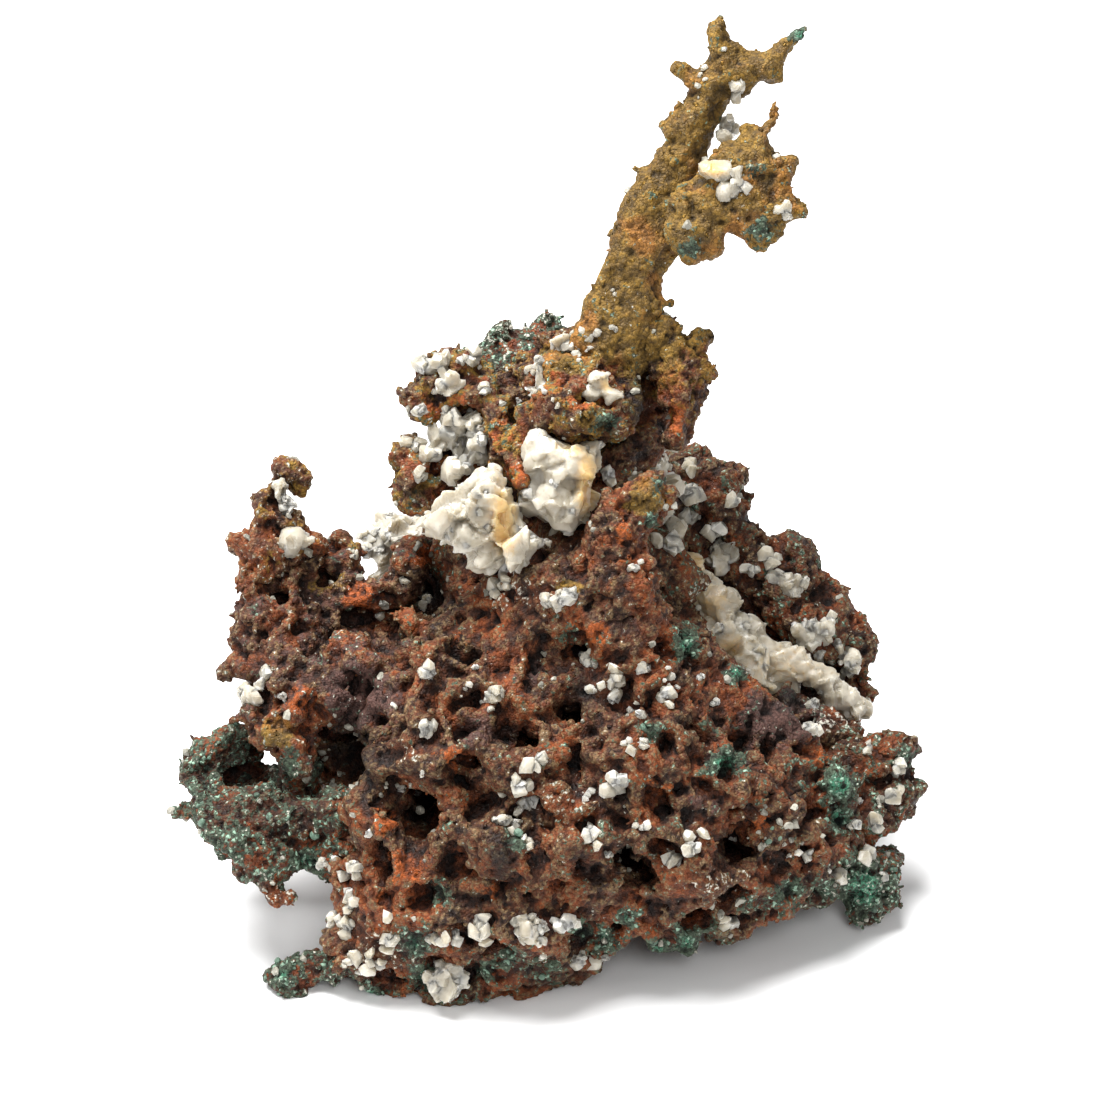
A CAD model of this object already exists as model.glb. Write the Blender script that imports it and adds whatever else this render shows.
"""Native copper specimen: spongy copper with a leaning horn, calcite crystals and malachite crust.

Points of a mesh are in metres. Names that end in _mm or _MM, the sizes of grains, the relief of crusts and plates,
and places on the front are in millimetres. A place on the front is (across, up): how far right of the middle of the
picture and how far above it the camera sees it.
"""

import math
import random

import bpy
import numpy as np
from mathutils import Matrix, Vector
from mathutils.bvhtree import BVHTree


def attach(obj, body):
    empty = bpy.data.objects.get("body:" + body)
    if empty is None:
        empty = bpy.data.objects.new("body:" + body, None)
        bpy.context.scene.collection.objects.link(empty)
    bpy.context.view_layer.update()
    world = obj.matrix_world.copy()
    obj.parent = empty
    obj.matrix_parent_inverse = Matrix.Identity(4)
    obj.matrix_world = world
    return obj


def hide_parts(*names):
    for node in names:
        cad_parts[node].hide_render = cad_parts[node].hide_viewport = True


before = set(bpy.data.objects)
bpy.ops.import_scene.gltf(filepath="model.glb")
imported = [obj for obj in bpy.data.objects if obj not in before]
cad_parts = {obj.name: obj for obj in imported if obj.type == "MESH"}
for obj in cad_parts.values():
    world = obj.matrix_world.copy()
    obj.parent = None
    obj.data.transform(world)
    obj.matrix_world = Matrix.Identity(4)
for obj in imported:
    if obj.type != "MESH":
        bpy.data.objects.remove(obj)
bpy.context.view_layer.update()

MM = 0.001
BODY = "root"

# The camera: half a metre off, 30 degrees above level, looking at the middle of the specimen.
CAMERA_DISTANCE = 0.5
CAMERA_TILT = math.radians(30.0)
CAMERA_MIDDLE = Vector((-0.0008, -0.00585, 0.07))
PICTURE_WIDTH = 0.2016
SENSOR_MM = 36.0
RIGHT = Vector((1, 0, 0))
BACK = Vector((0, 1, 0))
RISE = Vector((0, math.sin(CAMERA_TILT), math.cos(CAMERA_TILT)))
TOWARDS = Vector((0, -math.cos(CAMERA_TILT), math.sin(CAMERA_TILT)))
EYE = CAMERA_MIDDLE + TOWARDS * CAMERA_DISTANCE

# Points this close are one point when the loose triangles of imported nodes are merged.
MERGE_DISTANCE = 0.00001
# Neighbouring crusts run this far past the plane that they are cut at.
CUT_OVERLAP = 1.2 * MM
# A plate thins out within this share of its thickness from its edge, down to the least share at the edge itself.
BLADE_VOXEL = 0.5 * MM
EDGE_SHARE = 0.55
THINNEST_EDGE = 0.42
# Rounds in which one number spreads all over a crumb but not over a whole piece.
CRUMB_ROUNDS = 8
# Rounds of smoothing that the fine and the broad relief of a crust are measured against.
FINE_ROUNDS = 5
BROAD_ROUNDS = 26
# A crystal's facets meet in a sharp edge where they turn by more than this.
SHARP_TURN = math.radians(34)
# Two sides to keep of a piece that is cut by a plane: the one that the plane faces away from, or the one it faces.
NEAR_SIDE = 1
FAR_SIDE = -1
FULL_TURN = 6.28


# ---- small helpers ----

def bare_selection():
    if bpy.context.object and bpy.context.object.mode != "OBJECT":
        bpy.ops.object.mode_set(mode="OBJECT")
    bpy.ops.object.select_all(action="DESELECT")


def pick(piece):
    bare_selection()
    piece.select_set(True)
    bpy.context.view_layer.objects.active = piece


def apply_all(piece):
    pick(piece)
    for modifier in list(piece.modifiers):
        bpy.ops.object.modifier_apply(modifier=modifier.name)


def join_to(piece, more):
    """Joins another object into the piece, which keeps its name."""
    bare_selection()
    more.select_set(True)
    piece.select_set(True)
    bpy.context.view_layer.objects.active = piece
    bpy.ops.object.join()


def add_remesh(piece, name, size):
    """Adds a modifier that makes the piece one closed skin of even squares."""
    even = piece.modifiers.new(name, "REMESH")
    even.mode = "VOXEL"
    even.voxel_size = size


def copy_of_nodes(name, nodes):
    """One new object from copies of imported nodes, with their loose triangles merged."""
    copies = []
    for node in nodes:
        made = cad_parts[node].copy()
        made.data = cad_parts[node].data.copy()
        made.parent = None
        made.matrix_world = Matrix.Identity(4)
        bpy.context.scene.collection.objects.link(made)
        made.hide_viewport = False
        made.hide_render = False
        made.hide_set(False)
        copies.append(made)
    bare_selection()
    for made in copies:
        made.select_set(True)
    bpy.context.view_layer.objects.active = copies[0]
    if len(copies) > 1:
        bpy.ops.object.join()
    piece = bpy.context.view_layer.objects.active
    piece.name = name
    piece.data.name = name
    piece.data.materials.clear()
    bpy.ops.object.mode_set(mode="EDIT")
    bpy.ops.mesh.select_all(action="SELECT")
    bpy.ops.mesh.remove_doubles(threshold=MERGE_DISTANCE)
    bpy.ops.object.mode_set(mode="OBJECT")
    return piece


def column(items, name, wide=1, kind=np.float32):
    """One property of every item, as a flat array or as rows of this width."""
    values = np.empty(len(items) * wide, dtype=kind)
    items.foreach_get(name, values)
    return values.reshape(-1, wide) if wide > 1 else values


def points_of(piece):
    return column(piece.data.vertices, "co", 3, np.float64)


def normals_of(piece):
    return column(piece.data.vertex_normals, "vector", 3)


def ends_of(piece):
    """The two points at the ends of each edge."""
    return column(piece.data.edges, "vertices", 2, np.int32)


def move_points(piece, places):
    piece.data.vertices.foreach_set("co", np.ascontiguousarray(places.reshape(-1), dtype=np.float32))
    piece.data.update()


def store(piece, name, values):
    layer = piece.data.attributes.new(name, "FLOAT", "POINT")
    layer.data.foreach_set("value", np.ascontiguousarray(values, dtype=np.float32))


# ---- node trees ----

class Tree:
    """A node tree that is built line by line: each call adds a node and links what it is given."""

    STEP = 180

    def __init__(self, tree):
        self.tree = tree
        self.column = 0

    def add(self, kind, inputs=(), **settings):
        node = self.tree.nodes.new(kind)
        node.location = (self.column * self.STEP, 0)
        self.column += 1
        for key, value in settings.items():
            setattr(node, key, value)
        for key, value in dict(inputs).items():
            socket = node.inputs[key]
            if isinstance(value, bpy.types.NodeSocket):
                self.tree.links.new(value, socket)
            else:
                socket.default_value = value
        return node

    def math(self, operation, first, second=0.0, clamp=False):
        return self.add("ShaderNodeMath", {0: first, 1: second}, operation=operation, use_clamp=clamp).outputs[0]

    def vector(self, operation, first, second=(0.0, 0.0, 0.0)):
        node = self.add("ShaderNodeVectorMath", {0: first, 1: second}, operation=operation)
        return node.outputs["Value" if operation == "DOT_PRODUCT" else "Vector"]

    def scaled(self, vector, factor):
        node = self.add("ShaderNodeVectorMath", {0: vector, "Scale": factor}, operation="SCALE")
        return node.outputs["Vector"]

    def ramp(self, value, low, high, to_low=0.0, to_high=1.0, smooth=True):
        node = self.add(
            "ShaderNodeMapRange",
            {"Value": value, "From Min": low, "From Max": high, "To Min": to_low, "To Max": to_high},
            interpolation_type="SMOOTHSTEP" if smooth else "LINEAR",
        )
        return node.outputs["Result"]

    def noise(self, place, size_mm, detail=2.0, rough=0.5, colour=False):
        node = self.add(
            "ShaderNodeTexNoise", {"Vector": place, "Scale": 1 / (size_mm * MM), "Detail": detail, "Roughness": rough}
        )
        return node.outputs["Color" if colour else "Fac"]

    def dome(self, distance, reach):
        """A round knob over each cell: 1 high in its middle, 0 where the distance passes its reach."""
        share = self.math("DIVIDE", distance, reach)
        rest = self.math("SUBTRACT", 1.0, self.math("MULTIPLY", share, share))
        return self.math("SQRT", self.math("MAXIMUM", rest, 0.0))

    def pores(self, place, size_mm, closed):
        """Holes between winding walls: 1 in the middle of an open cell, 0 in its walls and in closed cells."""
        wall = self.cells(place, size_mm, "DISTANCE_TO_EDGE")
        kind = self.add("ShaderNodeSeparateXYZ", {0: self.cells(place, size_mm, out="Color")}).outputs[0]
        return self.math("MULTIPLY", self.ramp(wall, 0.05, 0.26), self.ramp(kind, closed, closed + 0.25))

    def mix(self, share, first, second, blend="MIX"):
        """One colour over another. A Mix node's colour sockets are inputs 6 and 7 and output 2."""
        node = self.add("ShaderNodeMix", {0: share, 6: first, 7: second}, data_type="RGBA", blend_type=blend)
        return node.outputs[2]

    def cover(self, amount, noise, ragged):
        """A patch with ragged edges: the amount, broken up by the noise."""
        off = self.math("MULTIPLY", self.math("SUBTRACT", noise, 0.5), ragged * 2.4)
        return self.ramp(self.math("ADD", amount, off), 0.38, 0.58)

    def cells(self, place, size_mm, feature="F1", out="Distance"):
        node = self.add("ShaderNodeTexVoronoi", {"Vector": place, "Scale": 1 / (size_mm * MM)}, feature=feature)
        return node.outputs[out]

    def wander(self, place, size_mm, detail, reach_mm):
        """The place, pushed about by up to half the reach, so that what is laid on it winds."""
        off = self.vector("SUBTRACT", self.noise(place, size_mm, detail, colour=True), (0.5, 0.5, 0.5))
        return self.vector("ADD", place, self.scaled(off, reach_mm * MM))


def new_group(name, kind, inputs, outputs):
    group = bpy.data.node_groups.new(name, kind)
    for label, socket, value in inputs:
        made = group.interface.new_socket(name=label, in_out="INPUT", socket_type=socket)
        if value is not None:
            made.default_value = value
    for label, socket in outputs:
        group.interface.new_socket(name=label, in_out="OUTPUT", socket_type=socket)
    return group


FLOAT = "NodeSocketFloat"
COLOUR = "NodeSocketColor"

# What a crust holds at each point for its colours: the tints laid on by hand, and the fine and the broad relief.
SKIN_VALUES = ("ochre", "green", "orange", "purple", "pale", "dark", "proud", "deep")


def lumps_group():
    """Swells, knobs, nodules and holes of the copper, raised along the surface of the mesh it is given."""
    inputs = [("Base", "NodeSocketGeometry", None)]
    inputs += [(label, FLOAT, 0.0) for label in ("Grow", "Swell", "Knob", "Nodule", "Hole")]
    group = new_group("copper_lumps", "GeometryNodeTree", inputs, (("Crust", "NodeSocketGeometry"),))
    t = Tree(group)
    given = t.add("NodeGroupInput").outputs
    place = t.add("GeometryNodeInputPosition").outputs[0]
    normal = t.add("GeometryNodeInputNormal").outputs[0]
    bent = t.wander(place, 5.5, 2.0, 4.5)
    swell = t.math("SUBTRACT", t.noise(bent, 8.0, 3.0, 0.6), 0.5)
    swell = t.math("MULTIPLY", swell, t.math("MULTIPLY", given["Swell"], 2.0))
    knob = t.math("MULTIPLY", t.dome(t.cells(bent, 3.6), 0.7), given["Knob"])
    aside = t.vector("ADD", bent, (0.013, 0.029, 0.007))
    nodule = t.math("MULTIPLY", t.dome(t.cells(aside, 1.9), 0.65), given["Nodule"])
    small_pores = t.math("MULTIPLY", t.pores(bent, 3.3, 0.45), 0.5)
    hole = t.math("MULTIPLY", t.math("ADD", t.pores(bent, 7.0, 0.3), small_pores), given["Hole"])
    out = t.math("ADD", given["Grow"], t.math("ADD", swell, t.math("ADD", knob, nodule)))
    out = t.math("MULTIPLY", t.math("SUBTRACT", out, hole), MM)
    moved = t.add("GeometryNodeSetPosition", {"Geometry": given["Base"], "Offset": t.scaled(normal, out)})
    t.add("NodeGroupOutput", {"Crust": moved.outputs[0]})
    return group


def grit_group():
    """Fine grains and pits on the crust."""
    inputs = [("Base", "NodeSocketGeometry", None), ("Grit", FLOAT, 0.5), ("Pit", FLOAT, 0.6)]
    group = new_group("copper_grit", "GeometryNodeTree", inputs, (("Crust", "NodeSocketGeometry"),))
    t = Tree(group)
    given = t.add("NodeGroupInput").outputs
    place = t.add("GeometryNodeInputPosition").outputs[0]
    normal = t.add("GeometryNodeInputNormal").outputs[0]
    bent = t.wander(place, 1.6, 1.0, 1.2)
    grain = t.math("MULTIPLY", t.dome(t.cells(bent, 1.15), 0.6), given["Grit"])
    aside = t.vector("ADD", bent, (0.011, 0.019, 0.005))
    pit = t.math("MULTIPLY", t.ramp(t.cells(aside, 2.1), 0.36, 0.2), given["Pit"])
    out = t.math("MULTIPLY", t.math("SUBTRACT", grain, pit), MM)
    moved = t.add("GeometryNodeSetPosition", {"Geometry": given["Base"], "Offset": t.scaled(normal, out)})
    t.add("NodeGroupOutput", {"Crust": moved.outputs[0]})
    return group


def set_inputs(modifier, values):
    for item in modifier.node_group.interface.items_tree:
        if item.in_out == "INPUT" and item.name in values:
            modifier[item.identifier] = values[item.name]


# ---- places on the front ----

def seen(across, up, near=0.0):
    """The point that the camera sees at a place on the picture, so many millimetres in front of its middle plane."""
    share = (CAMERA_DISTANCE / MM - near) * MM / CAMERA_DISTANCE
    return CAMERA_MIDDLE + RIGHT * across * MM * share + RISE * up * MM * share + TOWARDS * near * MM


def on_front(places):
    """Across and up, in millimetres on the picture, of places in the round."""
    away = places - np.array(CAMERA_MIDDLE)
    share = 1 - (away @ np.array(TOWARDS)) / CAMERA_DISTANCE
    return away @ np.array(RIGHT) / share / MM, away @ np.array(RISE) / share / MM


def patches_on(piece, patches, edge=1.0):
    """How much of each patch (across, up, wide, tall, strength) falls on each point of the front."""
    across, up = on_front(points_of(piece))
    facing = np.clip((normals_of(piece) @ np.array(TOWARDS) + 0.35) / 0.5, 0, 1)
    value = np.zeros(len(across))
    for middle_across, middle_up, wide, tall, strength in patches:
        off = ((across - middle_across) / (wide / 2)) ** 2 + ((up - middle_up) / (tall / 2)) ** 2
        value = np.maximum(value, strength * np.exp(-off ** edge * 0.9))
    return value * facing


def press(piece, dents):
    """Pushes the front in, away from the camera, by each dent's strength in millimetres."""
    depth = patches_on(piece, dents, edge=2.0)
    move_points(piece, points_of(piece) - np.outer(depth * MM, np.array(TOWARDS)))


def drop_crumbs(piece):
    """Deletes the small loose bodies that a remesh can leave beside a thin tip. The lowest point number is passed
    along the edges for a few rounds, and a body that ends with one number all over is a crumb."""
    ends = ends_of(piece)
    label = np.arange(len(piece.data.vertices))
    for _ in range(CRUMB_ROUNDS):
        lowest = np.minimum(label[ends[:, 0]], label[ends[:, 1]])
        np.minimum.at(label, ends[:, 0], lowest)
        np.minimum.at(label, ends[:, 1], lowest)
    across_labels = label[ends[:, 0]] != label[ends[:, 1]]
    alone = np.ones(len(label), dtype=bool)
    alone[label[ends[across_labels].reshape(-1)]] = False
    crumbs = alone[label]
    if not crumbs.any():
        return
    pick(piece)
    bpy.ops.object.mode_set(mode="EDIT")
    bpy.ops.mesh.select_mode(type="VERT")
    bpy.ops.mesh.select_all(action="DESELECT")
    bpy.ops.object.mode_set(mode="OBJECT")
    piece.data.vertices.foreach_set("select", crumbs)
    bpy.ops.object.mode_set(mode="EDIT")
    bpy.ops.mesh.delete(type="VERT")
    bpy.ops.object.mode_set(mode="OBJECT")


def proud_of(piece, rounds):
    """Millimetres by which each point stands proud of the surface smoothed over this many rounds."""
    places = points_of(piece)
    ends = ends_of(piece)
    here = np.concatenate((ends[:, 0], ends[:, 1]))
    there = np.concatenate((ends[:, 1], ends[:, 0]))
    count = np.maximum(np.bincount(here, minlength=len(places)), 1)
    soft = places.copy()
    for _ in range(rounds):
        sums = [np.bincount(here, weights=soft[there, k], minlength=len(places)) for k in range(3)]
        soft = np.stack([total / count for total in sums], 1)
    return np.einsum("ij,ij->i", places - soft, normals_of(piece)) / MM


def blade(name, outline, near, thick, lean=0.0, level=0.0):
    """A plate with this outline on the picture, thinner towards its edge. Its front face is this near in front of
    the middle plane at the level given, and comes nearer by the lean for each millimetre up."""
    front = [seen(across, up, near + lean * (up - level)) for across, up in outline]
    back = [seen(across, up, near + lean * (up - level) - thick) for across, up in outline]
    count = len(outline)
    faces = [tuple(range(count)), tuple(reversed(range(count, 2 * count)))]
    faces += [(i, i + count, (i + 1) % count + count, (i + 1) % count) for i in range(count)]
    mesh = bpy.data.meshes.new(name)
    mesh.from_pydata(front + back, [], faces)
    piece = bpy.data.objects.new(name, mesh)
    bpy.context.scene.collection.objects.link(piece)
    pick(piece)
    bpy.ops.object.mode_set(mode="EDIT")
    bpy.ops.mesh.select_all(action="SELECT")
    bpy.ops.mesh.normals_make_consistent(inside=False)
    bpy.ops.object.mode_set(mode="OBJECT")
    add_remesh(piece, "even", BLADE_VOXEL)
    apply_all(piece)
    places = points_of(piece)
    across, up = on_front(places)
    from_edge = np.full(len(across), np.inf)
    for (left, low), (right, high) in zip(outline, outline[1:] + outline[:1]):
        wide, tall = right - left, high - low
        along = np.clip(((across - left) * wide + (up - low) * tall) / (wide ** 2 + tall ** 2), 0, 1)
        from_edge = np.minimum(from_edge, np.hypot(across - left - along * wide, up - low - along * tall))
    depth = (places - np.array(CAMERA_MIDDLE)) @ np.array(TOWARDS) / MM
    heart = near + lean * (up - level) - thick / 2
    inward = 1 - np.clip(from_edge / (EDGE_SHARE * thick), 0, 1)
    kept = np.maximum(np.sqrt(1 - inward ** 2), THINNEST_EDGE)
    move_points(piece, places + np.outer((heart - depth) * (1 - kept) * MM, np.array(TOWARDS)))
    return piece


def with_nodes(piece, nodes):
    """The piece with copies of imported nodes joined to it."""
    join_to(piece, copy_of_nodes("more", nodes))
    return piece


def crust(name, nodes, voxel_mm, tint, cuts=(), swell=1.5, knob=1.0, nodule=0.7, hole=4.2, grit=0.5, pit=0.7,
          grow=0.1, dents=(), start=None, soften=4):
    """A knobbly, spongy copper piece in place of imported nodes, made from copies of them or from the start given.
    Each cut is the facing of a plane through the middle and the side to keep. Relief is given in millimetres."""
    piece = start or copy_of_nodes(name, nodes)
    for way, side in cuts:
        bpy.ops.object.mode_set(mode="EDIT")
        bpy.ops.mesh.select_all(action="SELECT")
        bpy.ops.mesh.bisect(
            plane_co=way * side * CUT_OVERLAP, plane_no=way, use_fill=True,
            clear_outer=side == NEAR_SIDE, clear_inner=side == FAR_SIDE,
        )
        bpy.ops.object.mode_set(mode="OBJECT")
    add_remesh(piece, "even", voxel_mm * MM)
    soft = piece.modifiers.new("soft", "SMOOTH")
    soft.iterations = soften
    apply_all(piece)
    if dents:
        press(piece, dents)
    lumps = piece.modifiers.new("lumps", "NODES")
    lumps.node_group = bpy.data.node_groups.get("copper_lumps") or lumps_group()
    set_inputs(lumps, {"Grow": grow, "Swell": swell, "Knob": knob, "Nodule": nodule, "Hole": hole})
    add_remesh(piece, "again", voxel_mm * MM)
    fine = piece.modifiers.new("fine", "NODES")
    fine.node_group = bpy.data.node_groups.get("copper_grit") or grit_group()
    set_inputs(fine, {"Grit": grit, "Pit": pit})
    apply_all(piece)
    drop_crumbs(piece)
    paint(piece, tint)
    finish(piece, "copper_crust", nodes)
    return piece


def paint(piece, tint):
    """Stores what the crust's colours need: relief, and the tints laid on by hand."""
    store(piece, "proud", proud_of(piece, FINE_ROUNDS))
    store(piece, "deep", proud_of(piece, BROAD_ROUNDS))
    for label, patches in TINTS.items():
        store(piece, label, np.maximum(patches_on(piece, patches), tint.get(label, 0.0)))
    pick(piece)
    bpy.ops.object.shade_smooth()


def finish(piece, material, nodes=()):
    """Rests the piece on the ground, and gives it its material, body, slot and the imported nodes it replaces."""
    places = points_of(piece)
    places[:, 2] = np.maximum(places[:, 2], 0.0)
    move_points(piece, places)
    piece.data.materials.clear()
    piece.data.materials.append(bpy.data.materials[material])
    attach(piece, BODY)
    if nodes:
        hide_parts(*nodes)


# ---- shader groups ----

def tone(red, green, blue):
    """A colour given as the eye reads it, 0 to 255, for a shader."""
    parts = [part / 255 for part in (red, green, blue)]
    return tuple(part / 12.92 if part <= 0.04045 else ((part + 0.055) / 1.055) ** 2.4 for part in parts) + (1.0,)


def crust_colours():
    """Colour, roughness, metal and fine relief of tarnished copper under ochre, green and white crusts."""
    inputs = [(label.capitalize(), FLOAT, 0.0) for label in SKIN_VALUES]
    outputs = (("Colour", COLOUR), ("Roughness", FLOAT), ("Metallic", FLOAT), ("Relief", FLOAT))
    group = new_group("crust_colours", "ShaderNodeTree", inputs, outputs)
    t = Tree(group)
    given = t.add("NodeGroupInput").outputs
    place = t.add("ShaderNodeTexCoord").outputs["Object"]
    broad = t.noise(place, 9.0, 3.0, 0.6)
    middle = t.noise(place, 3.2, 4.0, 0.65)
    small = t.noise(place, 0.9, 3.0, 0.6)
    bent = t.wander(place, 1.2, 1.0, 0.8)
    grain = t.add("ShaderNodeSeparateColor", {0: t.cells(bent, 0.6, out="Color")}).outputs
    grain_dome = t.dome(t.cells(bent, 0.6), 0.66)

    proud = t.ramp(given["Proud"], -0.1, 0.35)
    high = t.ramp(given["Deep"], -0.4, 0.7)
    brown = t.mix(t.ramp(middle, 0.35, 0.65), tone(38, 21, 13), tone(88, 47, 25))
    brown = t.mix(t.ramp(broad, 0.45, 0.62), brown, t.mix(middle, tone(72, 31, 14), tone(140, 70, 28)))
    dusted = t.math("MULTIPLY", t.math("MULTIPLY", proud, high), t.ramp(small, 0.4, 0.65))
    brown = t.mix(dusted, brown, tone(110, 88, 60))
    orange = t.mix(middle, tone(108, 44, 17), tone(158, 84, 34))
    colour = t.mix(t.cover(given["Orange"], middle, 0.7), brown, orange)
    purple = t.mix(middle, tone(50, 33, 29), tone(94, 66, 58))
    colour = t.mix(t.cover(given["Purple"], middle, 0.7), colour, purple)
    ochre = t.mix(t.ramp(middle, 0.35, 0.65), tone(82, 62, 26), tone(128, 98, 40))
    ochre = t.mix(t.ramp(broad, 0.5, 0.66), ochre, tone(134, 90, 38))
    ochre = t.mix(t.math("MULTIPLY", proud, t.ramp(small, 0.55, 0.75)), ochre, tone(142, 116, 64))
    colour = t.mix(t.cover(given["Ochre"], middle, 0.6), colour, ochre)
    green = t.mix(t.ramp(small, 0.35, 0.62), tone(36, 40, 31), tone(68, 80, 64))
    fresh = t.math("MULTIPLY", t.ramp(given["Green"], 0.72, 0.95), t.ramp(small, 0.4, 0.6))
    green = t.mix(fresh, green, tone(58, 118, 92))
    green = t.mix(t.ramp(grain[2], 0.84, 0.97), green, tone(130, 158, 138))
    mottle = t.math("ADD", t.math("MULTIPLY", middle, 0.5), t.math("MULTIPLY", small, 0.5))
    greened = t.math("ADD", given["Green"], t.math("MULTIPLY", t.math("SUBTRACT", high, 0.5), 0.25))
    colour = t.mix(t.cover(greened, mottle, 1.3), colour, green)
    pale = t.mix(small, tone(140, 134, 120), tone(206, 202, 190))
    frosted = t.math("MULTIPLY", given["Pale"], t.math("ADD", 0.3, t.math("MULTIPLY", proud, 0.7)))
    colour = t.mix(t.cover(frosted, small, 0.9), colour, pale)

    hollow = t.ramp(given["Deep"], -1.9, 0.6, 0.08, 1.05)
    shade = t.math("MULTIPLY", t.ramp(given["Proud"], -0.5, 0.25, 0.38, 1.1), hollow)
    shade = t.math("MULTIPLY", shade, t.ramp(grain[0], 0.0, 1.0, 0.8, 1.18, smooth=False))
    shade = t.math("MULTIPLY", shade, t.ramp(given["Dark"], 0.1, 0.9, 1.0, 0.16))
    shade = t.math("MULTIPLY", shade, t.ramp(grain_dome, 0.0, 0.5, 0.72, 1.06))
    grey = t.add("ShaderNodeCombineColor", {0: shade, 1: shade, 2: shade}).outputs[0]
    colour = t.mix(1.0, colour, grey, blend="MULTIPLY")
    glint = t.ramp(grain[1], 0.96, 0.98)
    rough = t.math("SUBTRACT", t.ramp(middle, 0.3, 0.7, 0.5, 0.78), t.math("MULTIPLY", glint, 0.3))
    metal = t.math("MULTIPLY", glint, t.math("SUBTRACT", 0.85, t.math("MULTIPLY", given["Green"], 0.6), clamp=True))
    dust = t.math("MULTIPLY", t.noise(place, 0.35, 2.0, 0.6), 0.4)
    relief = t.math("ADD", t.math("MULTIPLY", grain_dome, 0.32), dust)
    t.add("NodeGroupOutput", {"Colour": colour, "Roughness": rough, "Metallic": metal, "Relief": relief})
    return group


def crystal_clouds():
    """Colour and relief of milky calcite: cloudy bands, a stain where it is given, and small cleavage steps."""
    inputs = (("Stain", FLOAT, 0.0), ("Cloud", FLOAT, 0.5))
    outputs = (("Colour", COLOUR), ("Roughness", FLOAT), ("Relief", FLOAT))
    group = new_group("crystal_clouds", "ShaderNodeTree", inputs, outputs)
    t = Tree(group)
    given = t.add("NodeGroupInput").outputs
    place = t.add("ShaderNodeTexCoord").outputs["Object"]
    broad = t.noise(place, 4.5, 3.0, 0.55)
    small = t.noise(place, 1.1, 3.0, 0.6)
    step = t.add("ShaderNodeSeparateColor", {0: t.cells(place, 2.6, out="Color")}).outputs
    milk = t.mix(t.ramp(broad, 0.3, 0.7), tone(158, 149, 130), tone(204, 197, 182))
    milk = t.mix(t.math("MULTIPLY", step[0], 0.4), milk, tone(170, 163, 148))
    milk = t.mix(t.math("MULTIPLY", t.ramp(small, 0.58, 0.72), given["Cloud"]), milk, tone(140, 128, 108))
    stain = t.mix(small, tone(206, 160, 88), tone(226, 196, 138))
    uneven = t.math("MULTIPLY", t.math("SUBTRACT", small, 0.5), 0.8)
    soaked = t.math("MULTIPLY", t.ramp(t.math("ADD", given["Stain"], uneven), 0.1, 0.9), 0.9)
    colour = t.mix(soaked, milk, stain)
    rough = t.ramp(step[1], 0.0, 1.0, 0.22, 0.5, smooth=False)
    fine = t.add("ShaderNodeSeparateColor", {0: t.cells(place, 0.9, out="Color")}).outputs
    relief = t.math("ADD", t.math("MULTIPLY", step[2], 0.25), t.math("MULTIPLY", fine[0], 0.3))
    relief = t.math("ADD", relief, t.math("MULTIPLY", small, 0.35))
    t.add("NodeGroupOutput", {"Colour": colour, "Roughness": rough, "Relief": relief})
    return group


def new_material(name):
    """The empty node tree of a new material."""
    material = bpy.data.materials.new(name)
    material.use_nodes = True
    material.node_tree.nodes.clear()
    return Tree(material.node_tree)


def copper_crust_material():
    t = new_material("copper_crust")
    values = {}
    for label in SKIN_VALUES:
        values[label.capitalize()] = t.add("ShaderNodeAttribute", attribute_name=label).outputs["Fac"]
    colours = t.add("ShaderNodeGroup", values, node_tree=crust_colours())
    bump = t.add("ShaderNodeBump", {"Height": colours.outputs["Relief"], "Distance": 0.9 * MM, "Strength": 0.9})
    skin = t.add(
        "ShaderNodeBsdfPrincipled",
        {"Base Color": colours.outputs["Colour"], "Roughness": colours.outputs["Roughness"],
         "Metallic": colours.outputs["Metallic"], "Normal": bump.outputs[0], "Specular IOR Level": 0.28},
    )
    t.add("ShaderNodeOutputMaterial", {"Surface": skin.outputs[0]})


def calcite_material(name, cloud, warmth):
    t = new_material(name)
    stain = t.add("ShaderNodeAttribute", attribute_name="stain").outputs["Fac"]
    clouds = t.add("ShaderNodeGroup", {"Cloud": cloud, "Stain": stain}, node_tree=crystal_clouds())
    bump = t.add("ShaderNodeBump", {"Height": clouds.outputs["Relief"], "Distance": 0.8 * MM, "Strength": 0.7})
    skin = t.add(
        "ShaderNodeBsdfPrincipled",
        {"Base Color": clouds.outputs["Colour"], "Roughness": clouds.outputs["Roughness"], "Normal": bump.outputs[0],
         "IOR": 1.55, "Subsurface Weight": 0.85, "Subsurface Scale": 4.0 * MM, "Subsurface Radius": warmth,
         "Transmission Weight": 0.15},
    )
    t.add("ShaderNodeOutputMaterial", {"Surface": skin.outputs[0]})


def grain_material(name, dark, light, rough):
    t = new_material(name)
    place = t.add("ShaderNodeTexCoord").outputs["Object"]
    step = t.add("ShaderNodeSeparateColor", {0: t.cells(place, 2.3, out="Color")}).outputs
    small = t.noise(place, 0.6, 3.0, 0.6)
    colour = t.mix(t.math("ADD", t.math("MULTIPLY", step[0], 0.7), t.math("MULTIPLY", small, 0.3)), dark, light)
    bump = t.add("ShaderNodeBump", {"Height": small, "Distance": 0.5 * MM, "Strength": 0.6})
    skin = t.add("ShaderNodeBsdfPrincipled", {"Base Color": colour, "Roughness": rough, "Normal": bump.outputs[0]})
    t.add("ShaderNodeOutputMaterial", {"Surface": skin.outputs[0]})


# ---- crystals and grains ----

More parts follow.
